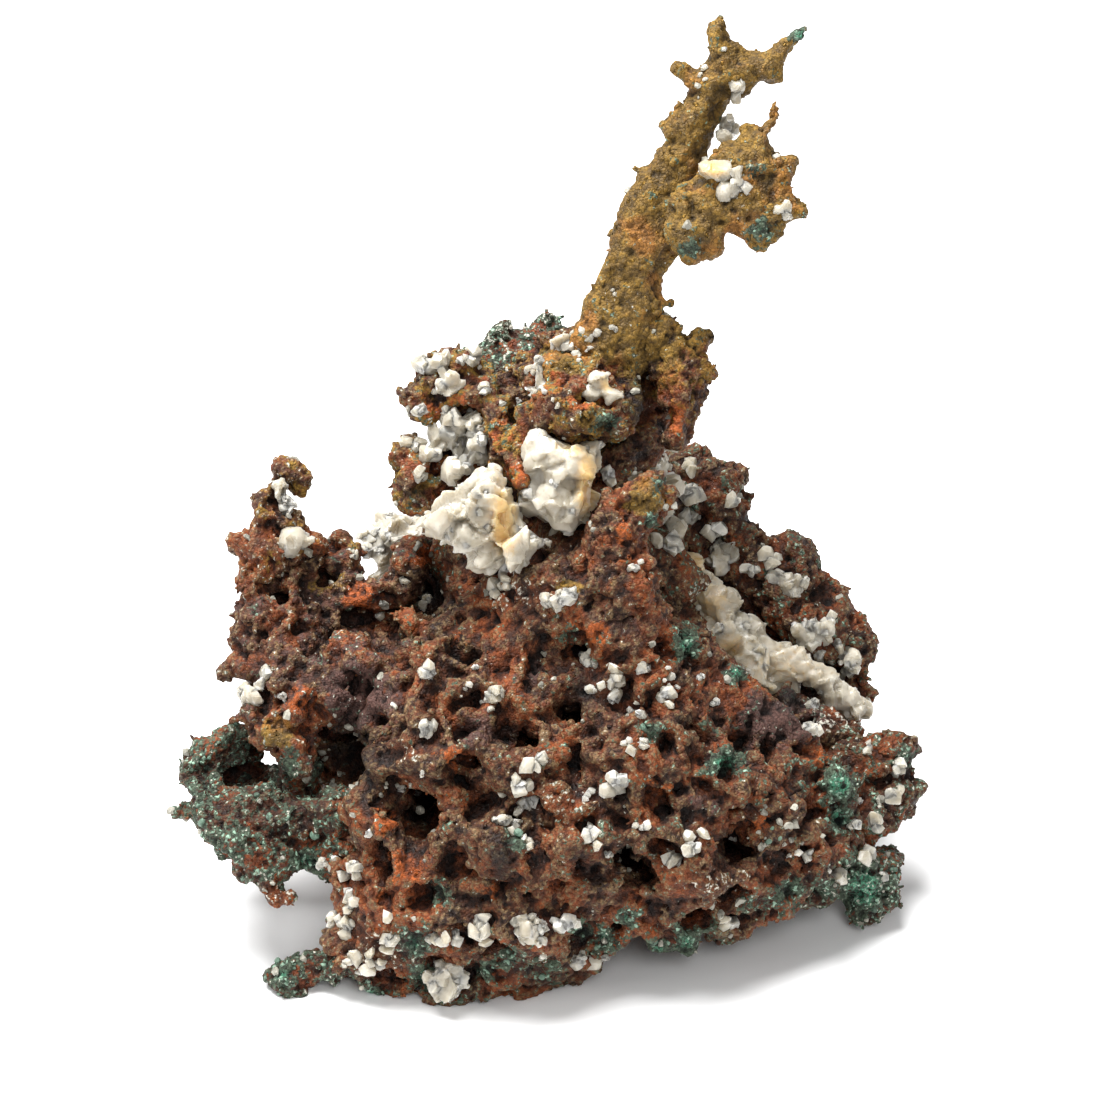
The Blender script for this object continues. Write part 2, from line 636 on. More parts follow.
def crystal(name, node, facet, per_chip, chip_mm, stains, start=None, voxel_mm=0.5, sink=0.7,
            soften=1):
    """A calcite crystal group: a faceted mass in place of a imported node, made from its copy or from the start given,
    with a small crystal grown on it for each of so many square millimetres."""
    picker = random.Random(len(name) * 7 + ord(name[-1]))
    piece = start or copy_of_nodes(name, (node,))
    add_remesh(piece, "even", voxel_mm * MM)
    steps = piece.modifiers.new("steps", "NODES")
    steps.node_group = bpy.data.node_groups.get("cleavage_facets") or facet_group()
    set_inputs(steps, {"Facet": facet})
    worn = piece.modifiers.new("worn", "SMOOTH")
    worn.iterations = soften
    apply_all(piece)
    mesh = piece.data
    placed = []
    area = sum(polygon.area for polygon in mesh.polygons) / MM ** 2
    for _ in range(int(area / per_chip)):
        polygon = mesh.polygons[picker.randrange(len(mesh.polygons))]
        long = picker.uniform(*chip_mm)
        size = (long, long * picker.uniform(0.6, 0.9), long * picker.uniform(0.6, 1.0))
        placed.append((picker.choice(chips), bed(polygon.center.copy(), polygon.normal.copy(), size, sink, picker)))
    if placed:
        join_to(piece, copies_as_one(name + "_small", placed))
    store(piece, "stain", patches_on(piece, stains))
    pick(piece)
    bpy.ops.object.shade_smooth_by_angle(angle=SHARP_TURN)
    finish(piece, "milky_calcite", (node,))


def facet_group():
    """Small flat faces, each tilted its own way, cut into a crystal's surface."""
    inputs = (("Base", "NodeSocketGeometry", None), ("Facet", FLOAT, 1.0))
    group = new_group("cleavage_facets", "GeometryNodeTree", inputs, (("Crystal", "NodeSocketGeometry"),))
    t = Tree(group)
    given = t.add("NodeGroupInput").outputs
    place = t.add("GeometryNodeInputPosition").outputs[0]
    normal = t.add("GeometryNodeInputNormal").outputs[0]
    out = 0.0
    for size_mm, tilt in ((6.5, 0.9), (2.6, 0.7), (1.1, 0.3)):
        cell = t.add("ShaderNodeTexVoronoi", {"Vector": place, "Scale": 1 / (size_mm * MM)})
        lean = t.vector("SUBTRACT", cell.outputs["Color"], (0.5, 0.5, 0.5))
        off = t.vector("SUBTRACT", place, cell.outputs["Position"])
        height = t.math("MULTIPLY", t.vector("DOT_PRODUCT", off, lean), tilt)
        out = t.math("ADD", out, height)
    offset = t.scaled(normal, t.math("MULTIPLY", out, given["Facet"]))
    moved = t.add("GeometryNodeSetPosition", {"Geometry": given["Base"], "Offset": offset})
    t.add("NodeGroupOutput", {"Crystal": moved.outputs[0]})
    return group


# A chip, one across, has this many corners struck off, and points this close made one.
CHIP_CUTS = 13
CHIP_MERGE = 0.02


def any_way(picker):
    return Vector((picker.uniform(-1, 1), picker.uniform(-1, 1), picker.uniform(-1, 1))).normalized()


def chip_template(seed):
    """A broken crystal grain, one across: a cube with its corners struck off."""
    picker = random.Random(seed)
    bare_selection()
    bpy.ops.mesh.primitive_cube_add(size=1.0)
    piece = bpy.context.object
    bpy.ops.object.mode_set(mode="EDIT")
    for _ in range(CHIP_CUTS):
        way = any_way(picker)
        corner = way * picker.uniform(0.36, 0.5)
        bpy.ops.mesh.select_all(action="SELECT")
        bpy.ops.mesh.bisect(plane_co=tuple(corner), plane_no=tuple(way), use_fill=True, clear_outer=True)
    bpy.ops.mesh.select_all(action="SELECT")
    bpy.ops.mesh.remove_doubles(threshold=CHIP_MERGE)
    bpy.ops.mesh.normals_make_consistent(inside=False)
    bpy.ops.object.mode_set(mode="OBJECT")
    mesh = piece.data
    bpy.data.objects.remove(piece)
    return mesh


def nodule_template(seed, level):
    """A small rounded knob of copper or malachite, one across."""
    picker = random.Random(seed)
    bare_selection()
    bpy.ops.mesh.primitive_ico_sphere_add(subdivisions=level, radius=0.5)
    piece = bpy.context.object
    mesh = piece.data
    for vertex in mesh.vertices:
        vertex.co *= picker.uniform(0.78, 1.12)
    for polygon in mesh.polygons:
        polygon.use_smooth = True
    bpy.data.objects.remove(piece)
    return mesh


def twig_template(seed):
    """A short knobbly spike of copper, one long, standing on its root."""
    picker = random.Random(seed)
    bare_selection()
    bpy.ops.mesh.primitive_cone_add(vertices=6, radius1=0.24, radius2=0.07, depth=1.0, location=(0, 0, 0.4))
    piece = bpy.context.object
    bpy.ops.object.mode_set(mode="EDIT")
    for height in (0.15, 0.4, 0.65):
        bpy.ops.mesh.select_all(action="SELECT")
        bpy.ops.mesh.bisect(plane_co=(0, 0, height), plane_no=(0, 0, 1))
    bpy.ops.object.mode_set(mode="OBJECT")
    lean = Vector((picker.uniform(-0.4, 0.4), picker.uniform(-0.4, 0.4), 0))
    mesh = piece.data
    for vertex in mesh.vertices:
        swell = picker.uniform(0.75, 1.5)
        vertex.co.x *= swell
        vertex.co.y *= swell
        vertex.co += lean * max(vertex.co.z, 0) ** 2
    for polygon in mesh.polygons:
        polygon.use_smooth = True
    bpy.data.objects.remove(piece)
    return mesh


def copies_as_one(name, placed):
    """One mesh from templates, each given with the 4x4 place that it is set at."""
    points = []
    faces = []
    start = 0
    for mesh, place in placed:
        matrix = np.array(place)
        points.append(column(mesh.vertices, "co", 3, np.float64) @ matrix[:3, :3].T + matrix[:3, 3])
        faces.extend([tuple(start + index for index in polygon.vertices) for polygon in mesh.polygons])
        start += len(mesh.vertices)
    mesh = bpy.data.meshes.new(name)
    mesh.from_pydata(np.concatenate(points).tolist(), [], faces)
    mesh.update()
    piece = bpy.data.objects.new(name, mesh)
    bpy.context.scene.collection.objects.link(piece)
    return piece


class Ground:
    """The grown copper as one surface to set grains on."""

    TRIES = 60

    def __init__(self, pieces):
        points = []
        faces = []
        values = {label: [] for label in SKIN_VALUES}
        start = 0
        for piece in pieces:
            places = points_of(piece)
            for label in SKIN_VALUES:
                values[label].append(column(piece.data.attributes[label].data, "value"))
            loops = column(piece.data.loops, "vertex_index", kind=np.int32)
            starts = column(piece.data.polygons, "loop_start", kind=np.int32)
            counts = column(piece.data.polygons, "loop_total", kind=np.int32)
            points.append(places)
            faces.extend((loops[s:s + n] + start).tolist() for s, n in zip(starts, counts))
            start += len(places)
        self.points = np.concatenate(points)
        self.values = {label: np.concatenate(read) for label, read in values.items()}
        self.faces = faces
        self.tree = BVHTree.FromPolygons(self.points.tolist(), faces)

    def at(self, across, up):
        """The place and facing of the copper where the camera sees this point of the picture, and its first point."""
        way = (seen(across, up) - EYE).normalized()
        place, facing, face, _ = self.tree.ray_cast(EYE, way)
        return place, facing, self.faces[face][0] if face is not None else 0

    def anywhere(self, picker, least):
        """A place, its facing and its first point, somewhere on the copper that stands at least this proud."""
        for _ in range(self.TRIES):
            face = self.faces[picker.randrange(len(self.faces))]
            if self.values["deep"][face[0]] > least:
                break
        corners = [Vector(self.points[index]) for index in face[:3]]
        facing = (corners[1] - corners[0]).cross(corners[2] - corners[0])
        return sum(corners, Vector()) / 3, facing.normalized() if facing.length else Vector((0, 0, 1)), face[0]


def bed(place, facing, size, sink, picker):
    """Where to set a grain of this size in millimetres: turned at random, sunk by its share into the copper."""
    centre = place + facing * (0.5 - sink) * min(size) * MM
    turn = Matrix.Rotation(picker.uniform(0, FULL_TURN), 4, any_way(picker))
    scale = Matrix.Diagonal((size[0] * MM, size[1] * MM, size[2] * MM, 1))
    return Matrix.Translation(centre) @ turn @ scale


def upright(facing, picker):
    """Turns Z to the facing, with a random spin."""
    return facing.to_track_quat("Z", "Y").to_matrix().to_4x4() @ Matrix.Rotation(picker.uniform(0, FULL_TURN), 4, "Z")


def twig_at(place, way, turn, root, tall):
    """Where to set a twig this tall, its root this far below the surface, both in millimetres."""
    return Matrix.Translation(place - way * root * MM) @ turn @ Matrix.Scale(tall * MM, 4)


# ---- tints, dents and grains, as across, up, wide and tall, and a strength for tints and dents ----

TINTS = {
    "green": (
        (25, -17, 5, 7, 1), (34, -22.5, 5, 4, 1), (19, -33.5, 5, 5, 0.8), (32, -39, 8, 6, 1),
        (14, -67.5, 5, 4, 0.9), (53, -43, 8, 9, 1), (53, -49, 6, 6, 1), (57.5, -62, 12, 14, 1),
        (-25, -72, 7, 6, 0.9), (-23, -78, 6, 6, 0.9), (-12, -77, 6, 5, 0.8), (-8, -75, 6, 5, 0.8),
        (6, -70, 6, 5, 0.8), (10, -71, 5, 5, 0.9), (25, -72, 7, 7, 0.9), (20, -73, 6, 4, 0.9), (-33, -82, 6, 6, 1),
        (-49, -78, 6, 6, 0.9), (-47.5, -40, 4, 6, 0.8), (-20, -63, 6, 5, 0.7), (-6, -53, 5, 5, 0.7),
        (65, -38, 6, 8, 0.7), (60, -47, 8, 8, 0.45), (61, -61, 9, 12, 0.7), (-63, -42, 10, 22, 0.62),
        (-58, -53, 14, 14, 0.62), (-50, -58, 10, 7, 0.6), (-45, -57, 8, 6, 0.9), (26, 55.5, 5, 4, 0.8),
        (38.5, 59, 6, 5, 0.8), (37.5, 69.5, 4, 4, 0.7), (10.5, 23.5, 6, 4, 0.8), (18.5, 5.5, 3, 3, 0.9),
        (20, 12, 4, 5, 0.55), (46, 94.5, 5, 3, 1), (-44, -63, 6, 5, 0.7), (4, -16, 5, 4, 0.5), (44, -62, 6, 5, 0.8),
        (36, -64, 6, 5, 0.5), (-33, -80, 12, 7, 0.45), (-18, -80, 14, 6, 0.45), (-4, -77, 18, 7, 0.5),
        (11, -73, 12, 7, 0.5), (27, -71, 14, 8, 0.5), (41, -65, 14, 7, 0.5), (51, -62, 12, 7, 0.6),
        (8, -48, 12, 12, 0.3), (32, -32, 12, 8, 0.35), (47, -42, 10, 8, 0.4), (-10, -27, 8, 6, 0.25),
    ),
    "ochre": (
        (18, 10, 9, 10, 0.85), (-47, 10, 9, 10, 0.55), (-50, -33.5, 7, 6, 1), (4, -7, 8, 4, 0.7),
        (-40, -6, 10, 5, 0.55), (4, 35, 14, 8, 0.9), (8, 24, 9, 5, 0.8), (-20, 34, 12, 6, 0.6), (22, 62, 50, 70, 1),
        (-34, 2, 10, 5, 0.6),
    ),
    "orange": (
        (-35, -8.5, 7, 6, 1), (-23.5, -1, 6, 5, 1), (-45.5, -27.5, 7, 6, 1), (0, 32, 9, 8, 0.9),
        (27, 59, 10, 13, 0.7), (8, -15, 8, 5, 0.8), (23, 24, 5, 9, 0.7), (-16, -17, 8, 5, 0.5),
        (-12, -62, 9, 6, 0.5), (20, -44, 8, 6, 0.5), (38, -50, 8, 6, 0.5), (-30, -64, 7, 6, 0.5),
        (-22, 25, 6, 6, 0.8), (50, -38, 8, 6, 0.5), (-9, 21, 7, 10, 0.7), (6, 27, 10, 5, 0.7),
        (-2, 19.5, 9, 4, 0.8), (-17, 27.5, 6, 5, 0.7), (22, 33, 8, 10, 0.6), (-6, 14, 6, 5, 0.9),
        (13, 3, 6, 10, 0.5), (-30, -50, 12, 8, 0.6), (-26, -58, 10, 8, 0.7), (-18, -38, 8, 6, 0.6),
        (40, -36, 8, 5, 0.5),
    ),
    "purple": (
        (-35, -26, 17, 15, 0.9), (42, -31, 22, 13, 0.8), (-14, -33, 12, 9, 0.6), (28, -47, 12, 9, 0.5),
        (-4, -23, 10, 8, 0.5), (14, -13, 12, 7, 0.6), (-24, -56, 10, 8, 0.5), (10, -63, 12, 6, 0.4),
    ),
    "pale": (
        (-27, -37, 8, 6, 0.35), (2, -47, 18, 10, 0.3), (-30, -73, 16, 10, 0.35), (30, -8, 10, 6, 0.45),
        (52, -31, 8, 5, 0.6), (30, -62, 14, 8, 0.3), (-6, -8, 16, 5, 0.5), (-20, 20, 10, 12, 0.4),
        (14, 44, 8, 8, 0.25), (36, 65, 12, 12, 0.25),
    ),
    "dark": (
        (6, -25, 7, 13, 0.8), (-7, -33.5, 9, 6, 0.8), (5, -39, 5, 6, 0.8), (-24, -48, 9, 9, 0.9),
        (-17, -42, 10, 4, 0.6), (-9, -57, 6, 13, 0.8), (-14, -64, 7, 4, 0.7), (33, -55, 7, 8, 0.8),
        (6, -58, 6, 7, 0.7), (14, -56, 6, 7, 0.7), (19, -56, 3, 7, 0.6), (21, -48, 4, 7, 0.7), (37, -47, 5, 3, 0.6),
        (42, -49.5, 4, 4, 0.6), (18, -65, 3, 6, 0.6), (16.5, 28, 6, 15, 0.8), (-24, 10, 5, 5, 0.8),
        (-21, -8, 12, 11, 0.7), (-37, -37, 13, 16, 0.8), (-55, -41, 13, 8, 0.6), (44, -27, 6, 6, 0.9),
        (20, 12.5, 5, 6, 0.35), (21, 5, 2.5, 8, 0.5), (-26.5, 31, 4, 9, 0.35), (-21, 36, 10, 3, 0.35),
        (-28, 20, 3, 12, 0.35), (16, 20, 5, 8, 0.6),
    ),
}

DENTS = (
    (6, -25, 6, 12, 5), (-7, -33.5, 8, 5, 5), (5, -39, 4.5, 5.5, 4), (-24, -48, 8, 8, 6), (-17, -42, 9, 4, 3),
    (-9, -57, 5, 12, 5), (-14, -64, 6, 3.5, 4), (33, -55, 6, 7, 5), (6, -58, 5, 6, 4), (14, -56, 5, 6, 4),
    (19, -56, 2.5, 6, 3), (21, -48, 3.5, 6, 4), (37, -47, 4, 2.5, 3), (42, -49.5, 3, 3, 3), (18, -65, 2.5, 5, 3),
)

LEFT_DENTS = (
    (-21, -8, 9, 10, 5), (-37, -37, 11, 13, 6), (-55, -41, 10, 6, 4), (-34, -13, 7, 5, 3.5), (-46, -17, 7, 5, 3),
    (-50, -8, 5, 4, 2.5), (-42, -5, 6, 4, 3), (-28, -20, 6, 5, 3),
)

WHITE_GRAINS = (
    (-8.7, -7, 6, 5), (-0.5, -9.5, 4, 4), (3.5, -8.2, 5, 3), (15, -2.5, 3, 3), (10.5, 14, 4, 2),
    (-22, -22.5, 3, 4.5), (-15, -24.5, 2, 2), (-14, -21, 2, 2), (-10, -26.5, 3, 4), (-11.5, -28, 2.5, 2.5),
    (-22.5, -33.5, 3, 5), (-28.5, -29, 2, 2), (-27, -43.5, 3, 2.5), (-24, -44, 2.5, 2), (-23.5, -41, 2, 2),
    (-1.5, -39, 4.5, 4), (-6, -43, 4, 3.5), (-4.5, -47, 4, 4), (-7, -51, 3, 4), (-3.5, -53, 3, 3),
    (-9.5, -49, 3, 3), (6.5, -20, 5, 3), (9, -25.5, 2.5, 3), (12, -23.5, 3, 5), (12, -27, 2.5, 2.5),
    (16.5, -22, 4, 2), (21.5, -23, 2.5, 2.5), (22.5, -24.5, 2, 2), (27.3, -23, 2.5, 2.5), (29.8, -28, 2.3, 2.3),
    (21, -27, 4, 2.5), (16, -30, 3.5, 2), (14.5, -36, 2.5, 2.5), (17, -35.5, 3, 2), (12, -42, 3.5, 6),
    (7.5, -45.5, 2.5, 2.5), (8, -52.5, 4, 6), (10.5, -56, 2, 3), (17, -51, 2.5, 2.5), (26, -54, 4.5, 4),
    (23, -58, 3, 5), (33.5, -53, 2, 2), (43.5, -56, 1.5, 1.5), (47, -55.5, 3.5, 2), (-3, -69, 5, 4), (2, -69, 5, 4),
    (-1.5, -74.5, 2.5, 2.5), (5.5, -75.5, 4, 4), (10, -74.5, 2.5, 2.5), (-13.5, -69.5, 4.5, 5), (-17, -71, 2, 3),
    (-21, -71, 5, 3), (-29, -70, 2, 5), (-37, -69.5, 3, 6), (-39.5, -68, 3.5, 3.5), (-36, -64, 3, 5),
    (-35.5, -58, 4, 5), (-33, -52, 2.5, 2.5), (-34.5, -75, 5, 6), (-31.5, -76, 3, 3), (33, -68, 4, 4),
    (57, -46, 2, 2), (51, -60, 2.5, 2.5), (63.5, -40, 1.5, 4), (-3, 33, 2.5, 2), (-2, 28.5, 2, 2),
    (0.5, 27.5, 2, 2), (4.5, 37, 2, 2), (5.5, 35, 1.5, 1.5), (7, 37, 1.5, 1.5), (-5.5, 27.5, 2, 2), (11, 41, 2, 2),
    (12, 47, 2, 2), (-16.5, 35, 2.5, 2.5), (-13.5, 34, 2.5, 2.5), (-20.5, 29, 2, 3), (-20, 21, 2.5, 3),
    (29.2, 87.2, 2.5, 2.5), (31.5, 92, 1.2, 1.2), (32.5, 77.5, 2.5, 5), (30.5, 74, 2, 2), (34.2, 84.5, 2, 4),
    (42, 73, 2.5, 2), (-41.5, -57, 3.5, 3), (-36, -1.2, 2.5, 2.5), (-31, -10.5, 2.5, 3), (-27, -6, 2.5, 2.5),
    (-22.5, -9.5, 3, 4),
)

RIDGE_GRAINS = (
    (30.1, 3.7, 4.4, 3.6), (31.9, -1.8, 3, 3), (33.3, 9.2, 3, 4), (40.3, -1.1, 4, 3), (42.9, -4.8, 5, 4),
    (44.7, -8, 3.5, 4), (47.6, -16.5, 5, 5), (50.9, -13.2, 3.5, 4), (52.8, -17.2, 3, 3), (49.8, -19.4, 3.5, 3),
    (55.3, -21.6, 4, 4), (53.9, -23.8, 3, 3), (48, -29, 3, 3.5), (47.3, -33, 4, 3), (20.9, 1.8, 5, 5),
    (63.4, -40, 2.5, 3), (37, -3, 3, 3), (26, 6, 3, 4), (58, -36, 3, 3), (24.5, 11, 4, 6), (23.5, 5, 4, 5),
    (25.5, 15.5, 3, 4), (22.5, 1, 4, 4), (60, -50, 4, 4), (63, -44, 3, 4), (58, -56, 4, 3), (56, -50, 3, 3),
    (61, -60, 3, 3), (53, -60, 4, 3), (-23, 33, 4, 5), (-14.5, 35.5, 3, 4), (-24, 25.5, 3, 3), (-25, 19, 3, 3.5),
    (-19, 26, 3, 3), (-12, 29, 3, 3), (-15, 18, 4, 5), (-24, 14, 3, 3),
)

SPIKES = (
    (16.3, 69.5), (20.5, 77.5), (24, 81.5), (23.3, 45.2), (41, 81), (46.5, 61.5), (-27, 28.5), (-29.5, 11),
    (-39, 2), (-8.5, 41), (-0.5, 43), (1.5, 42.5), (-47, -75.5), (-48.5, -79), (-54.5, 15), (-57, -6.7), (-60, -22),
    (-66, -40.5), (-67.5, -47), (-65, -51), (28, 39), (29.5, 33), (52, -7.5), (57, -15.5), (58, -23.5), (38, 4),
    (34.5, 13.5), (67.5, -38), (64, -65), (57, -68.5), (-31, 5), (-55, 8), (-57.5, 1.5), (8, 48), (12, 59),
    (31.5, 96.5),
)


# Stains on calcite, as the tints are.
YELLOW = ((10.5, 30.5, 3, 3, 0.8), (30, 70, 5, 3, 1))
STAINS = (
    (42, -22, 20, 12, 0.35), (29, -9, 9, 12, 0.5), (27, -3, 3, 6, 0.8), (7, 12, 4.5, 14, 0.9), (4, 18.5, 9, 3, 0.6),
    (-8.5, 5.5, 5, 13, 0.95), (33, -18, 6, 5, 0.6), (25.5, -1.5, 6, 4, 0.6),
)

# The least of each tint all over a piece.
RUST = {"orange": 0.14, "purple": 0.05, "green": 0.08, "pale": 0.06}
REAR = {"orange": 0.24, "purple": 0.14, "green": 0.2, "pale": 0.1}
HORN = {"ochre": 1.0, "orange": 0.1, "green": 0.12}
HEAD = {"ochre": 0.42, "orange": 0.3, "green": 0.15, "pale": 0.1}
LEAFY = {"green": 0.42, "orange": 0.15, "pale": 0.16}
SPIRE = {"green": 0.5, "pale": 0.3}
SHOULDER = {"orange": 0.2, "purple": 0.4, "green": 0.1, "pale": 0.12}
SPUR = {"orange": 0.2, "ochre": 0.35, "pale": 0.2}
PENDANT = {"orange": 0.3, "pale": 0.4}
FOOT = {"green": 0.5, "pale": 0.2}
RIGHT_LOBE = {"green": 0.3, "pale": 0.2, "ochre": 0.2}
RIGHT_FOOT = {"green": 0.4, "pale": 0.2}
RIDGE = {"green": 0.2, "pale": 0.1, "purple": 0.25, "dark": 0.22}

# The outlines of plates, as points across and up.
HORN_OUTLINE = (
    (6, 30), (3.5, 33), (4.6, 36), (3.4, 38), (4, 40.5), (5.5, 46), (8.5, 48.5), (10, 53), (11, 57), (12, 61),
    (13.5, 65.5), (16, 67), (15.4, 69.5), (18.3, 71), (19, 73), (21.5, 75), (19.8, 77.5), (22.5, 80), (24, 81.5),
    (25.5, 84.5), (22.3, 87.5), (21.8, 89.6), (24.3, 90.2), (26.5, 87.8), (29, 90), (29.2, 93), (28.4, 94.5),
    (29.5, 96.8), (31.8, 97.6), (32.5, 94), (35.2, 92.8), (35.2, 91), (39, 91.3), (41, 92.8), (43, 94),
    (45.5, 95.9), (48, 96), (46.5, 93.8), (45, 92.2), (43.8, 90.5), (42.8, 88.5), (43.6, 87), (42.7, 85.8),
    (40.5, 85.2), (38.3, 85.6), (37.8, 84.2), (36, 83.4), (34, 82), (32, 80), (30.5, 76), (29, 72.5), (28, 69),
    (27, 66), (26, 62), (25.5, 59), (24, 55), (22, 52.5), (20.8, 50), (20.5, 48), (20.5, 46), (23.6, 45.6),
    (20.5, 44), (19.5, 42), (19.6, 39), (18, 37), (18.6, 33), (15, 31), (12.5, 28), (9, 31),
)
BRANCH_OUTLINE = (
    (21.5, 66), (26, 68), (29, 71.5), (30.5, 73.2), (33, 75.2), (34.5, 77.2), (36.5, 78.2), (39, 77.2),
    (40.2, 79.5), (41, 82.4), (41.9, 82), (41.6, 79), (40.8, 75.2), (43, 73.4), (45.3, 71.7), (44.7, 69.5),
    (43.8, 67), (44.7, 64.2), (46.2, 63.4), (47.6, 61.8), (46.7, 60.8), (44.5, 60.8), (43.2, 59.3), (41.6, 56.6),
    (39, 54.2), (36.8, 55.6), (34.8, 58.2), (33.3, 58.8), (31.8, 57.2), (30.8, 53.6), (29.3, 52.8), (28.3, 54.6),
    (26.4, 51.6), (24.8, 53), (23, 55), (21.5, 58),
)
CLAW_OUTLINE = (
    (14, 45), (18, 45), (20.5, 42.8), (22, 38.8), (23, 36.8), (24, 35.7), (25, 37.8), (26.4, 39.6), (28.9, 39.8),
    (29.1, 38), (27.7, 36.7), (27.3, 34.9), (29.2, 34.4), (30.6, 32), (29.2, 29.8), (28.2, 27.8), (26.6, 26),
    (25.6, 25.4), (25.4, 22), (24.8, 19.8), (23.6, 19), (21.3, 19.8), (22.1, 22.5), (21.3, 26), (20.3, 30),
    (19.2, 34), (16.5, 37), (13, 41),
)
FIN_OUTLINE = (
    (9, 11), (12, 10.8), (15, 12.9), (18, 13.9), (20.5, 15.1), (22, 13.6), (21.7, 11), (20.7, 9), (19.2, 6),
    (17.7, 4), (17, 2), (18.2, -1), (20, -6), (19, -12), (10, -13), (8, -9), (7, -6), (7.3, 0), (8.3, 5), (9.6, 8),
)
PENDANT_OUTLINE = (
    (-54, -57), (-53.2, -60.5), (-52.4, -63), (-51, -65), (-48.6, -65.3), (-46.6, -63.8), (-47.4, -62.2),
    (-49.6, -62.9), (-50.6, -61.5), (-50, -59), (-49, -57),
)
CLUSTER_OUTLINE = (
    (-23.5, 6.3), (-21.5, 3.2), (-19.5, 1.4), (-17.2, 0), (-14.3, -0.6), (-12.8, -3), (-10, -3.8), (-6.5, -4.4),
    (-4.2, -3), (-2.6, -1), (1, 1.8), (-1.5, 4), (-4.4, 5.6), (-6, 8), (-8.2, 12.2), (-10, 14), (-13, 13.4),
    (-15, 12), (-18, 9.6), (-22, 7.8),
)
VEIN_OUTLINE = (
    (19.5, -1.5), (21.5, 0.2), (24, 0), (26.5, -2), (29, -3.4), (31, -6.4), (33.4, -7.2), (35, -10.4), (37.6, -12),
    (40, -15.8), (43, -16.8), (46.5, -20.2), (50, -21.2), (53.5, -24.4), (57, -26.2), (58, -29), (57, -31.5),
    (54, -30.8), (50, -28), (47.5, -25), (44.5, -25.6), (42.5, -29), (39, -30), (35.5, -26), (32, -21), (29.5, -18),
    (27.5, -14), (25, -9.5), (22, -5),
)


# ---- grains ----

# A clump's grains are sized by its longer side, up to this.
CLUMP_MOST = 4.5
# Small grains gather round this many nests, within reach of them.
NESTS = 110
NEST_REACH = 5 * MM
FRONT_NEST_REACH = 6 * MM
TRIES_ALL_OVER = 4800
TRIES_ON_FRONT = 1300
# How far copper stands out, in millimetres, where grains grow on it.
PROUD_ENOUGH = 0.1
PROUD_ON_FRONT = 0.25
# What grows at a place goes by one random draw: grey grains up to the first share, then malachite, knobs and twigs.
GREY_UP_TO = 0.24
GREEN_UP_TO = 0.4
KNOB_UP_TO = 0.8
# Grey grains away from the nests, and on ochre copper, have these shares.
LONE_GREY_UP_TO = 0.07
GREY_ON_OCHRE_UP_TO = 0.03
OCHRE_ENOUGH = 0.5
LARGE_KNOB = 1.1


def calcite_grains(ground, picker):
    """White grains in clumps on the front, and larger ones along the ridge."""
    placed = []
    for across, up, wide, tall in WHITE_GRAINS:
        for _ in range(2 + int(wide * tall / 5)):
            place, facing, _ = ground.at(across + picker.gauss(0, wide / 4.5), up + picker.gauss(0, tall / 4.5))
            if place:
                long = picker.uniform(0.4, 0.75) * min(max(wide, tall), CLUMP_MOST)
                size = (long, long * picker.uniform(0.55, 0.9), long * picker.uniform(0.6, 0.95))
                placed.append((picker.choice(chips), bed(place, facing, size, 0.3, picker)))
    for across, up, wide, tall in RIDGE_GRAINS:
        for _ in range(3):
            place, facing, _ = ground.at(across + picker.gauss(0, wide / 6), up + picker.gauss(0, tall / 6))
            if place:
                long = picker.uniform(0.6, 0.85) * max(wide, tall)
                placed.append((picker.choice(chips), bed(place, facing, (long, long * 0.75, long * 0.8), 0.35, picker)))
    grains = copies_as_one("calcite_grains", placed)
    store(grains, "stain", np.zeros(len(grains.data.vertices)))
    finish(grains, "milky_calcite")


def from_nests(nests, place):
    """How far this place is from the nearest nest."""
    return np.min(np.linalg.norm(nests - np.array(place), axis=1))


def all_over(ground, picker, nests, grey, green, rough):
    """Adds grey grains near the nests, malachite on green places, and knobs and twigs everywhere."""
    for _ in range(TRIES_ALL_OVER):
        place, facing, point = ground.anywhere(picker, PROUD_ENOUGH)
        kind = picker.random()
        long = picker.uniform(0.5, 1.0) ** 2 * 1.7
        shape = (long * picker.uniform(0.8, 1.3), long * picker.uniform(0.7, 1.1), long * picker.uniform(0.8, 1.3))
        ochre = ground.values["ochre"][point]
        if kind < GREY_UP_TO:
            near = from_nests(nests, place) < NEST_REACH
            if (near or kind < LONE_GREY_UP_TO) and (ochre < OCHRE_ENOUGH or kind < GREY_ON_OCHRE_UP_TO):
                grey.append((picker.choice(chips), bed(place, facing, shape, 0.45, picker)))
        elif kind < GREEN_UP_TO:
            if ground.values["green"][point] > 0.35:
                green.append((picker.choice(knobs), bed(place, facing, shape, 0.5, picker)))
        elif kind < KNOB_UP_TO:
            knob = picker.choice(knobs if long > LARGE_KNOB else small_knobs)
            rough.append((knob, bed(place, facing, shape, 0.5, picker), point))
        else:
            tall = picker.uniform(1.4, 2.8) * (0.6 if ochre > OCHRE_ENOUGH else 1.0)
            matrix = twig_at(place, facing, upright(facing, picker), 0.3, tall)
            rough.append((picker.choice(twigs), matrix, point))


def at_spikes(ground, picker, rough):
    """Adds three leaning twigs at each spike of the outline."""
    for across, up in SPIKES:
        place, facing, point = ground.at(across, up)
        if not place:
            continue
        for _ in range(3):
            off = Vector((picker.uniform(-0.6, 0.6), picker.uniform(-0.6, 0.6), picker.uniform(0.0, 0.8)))
            lean = (facing + off).normalized()
            matrix = twig_at(place, lean, upright(lean, picker), 0.4, picker.uniform(1.8, 3.4))
            rough.append((picker.choice(twigs), matrix, point))


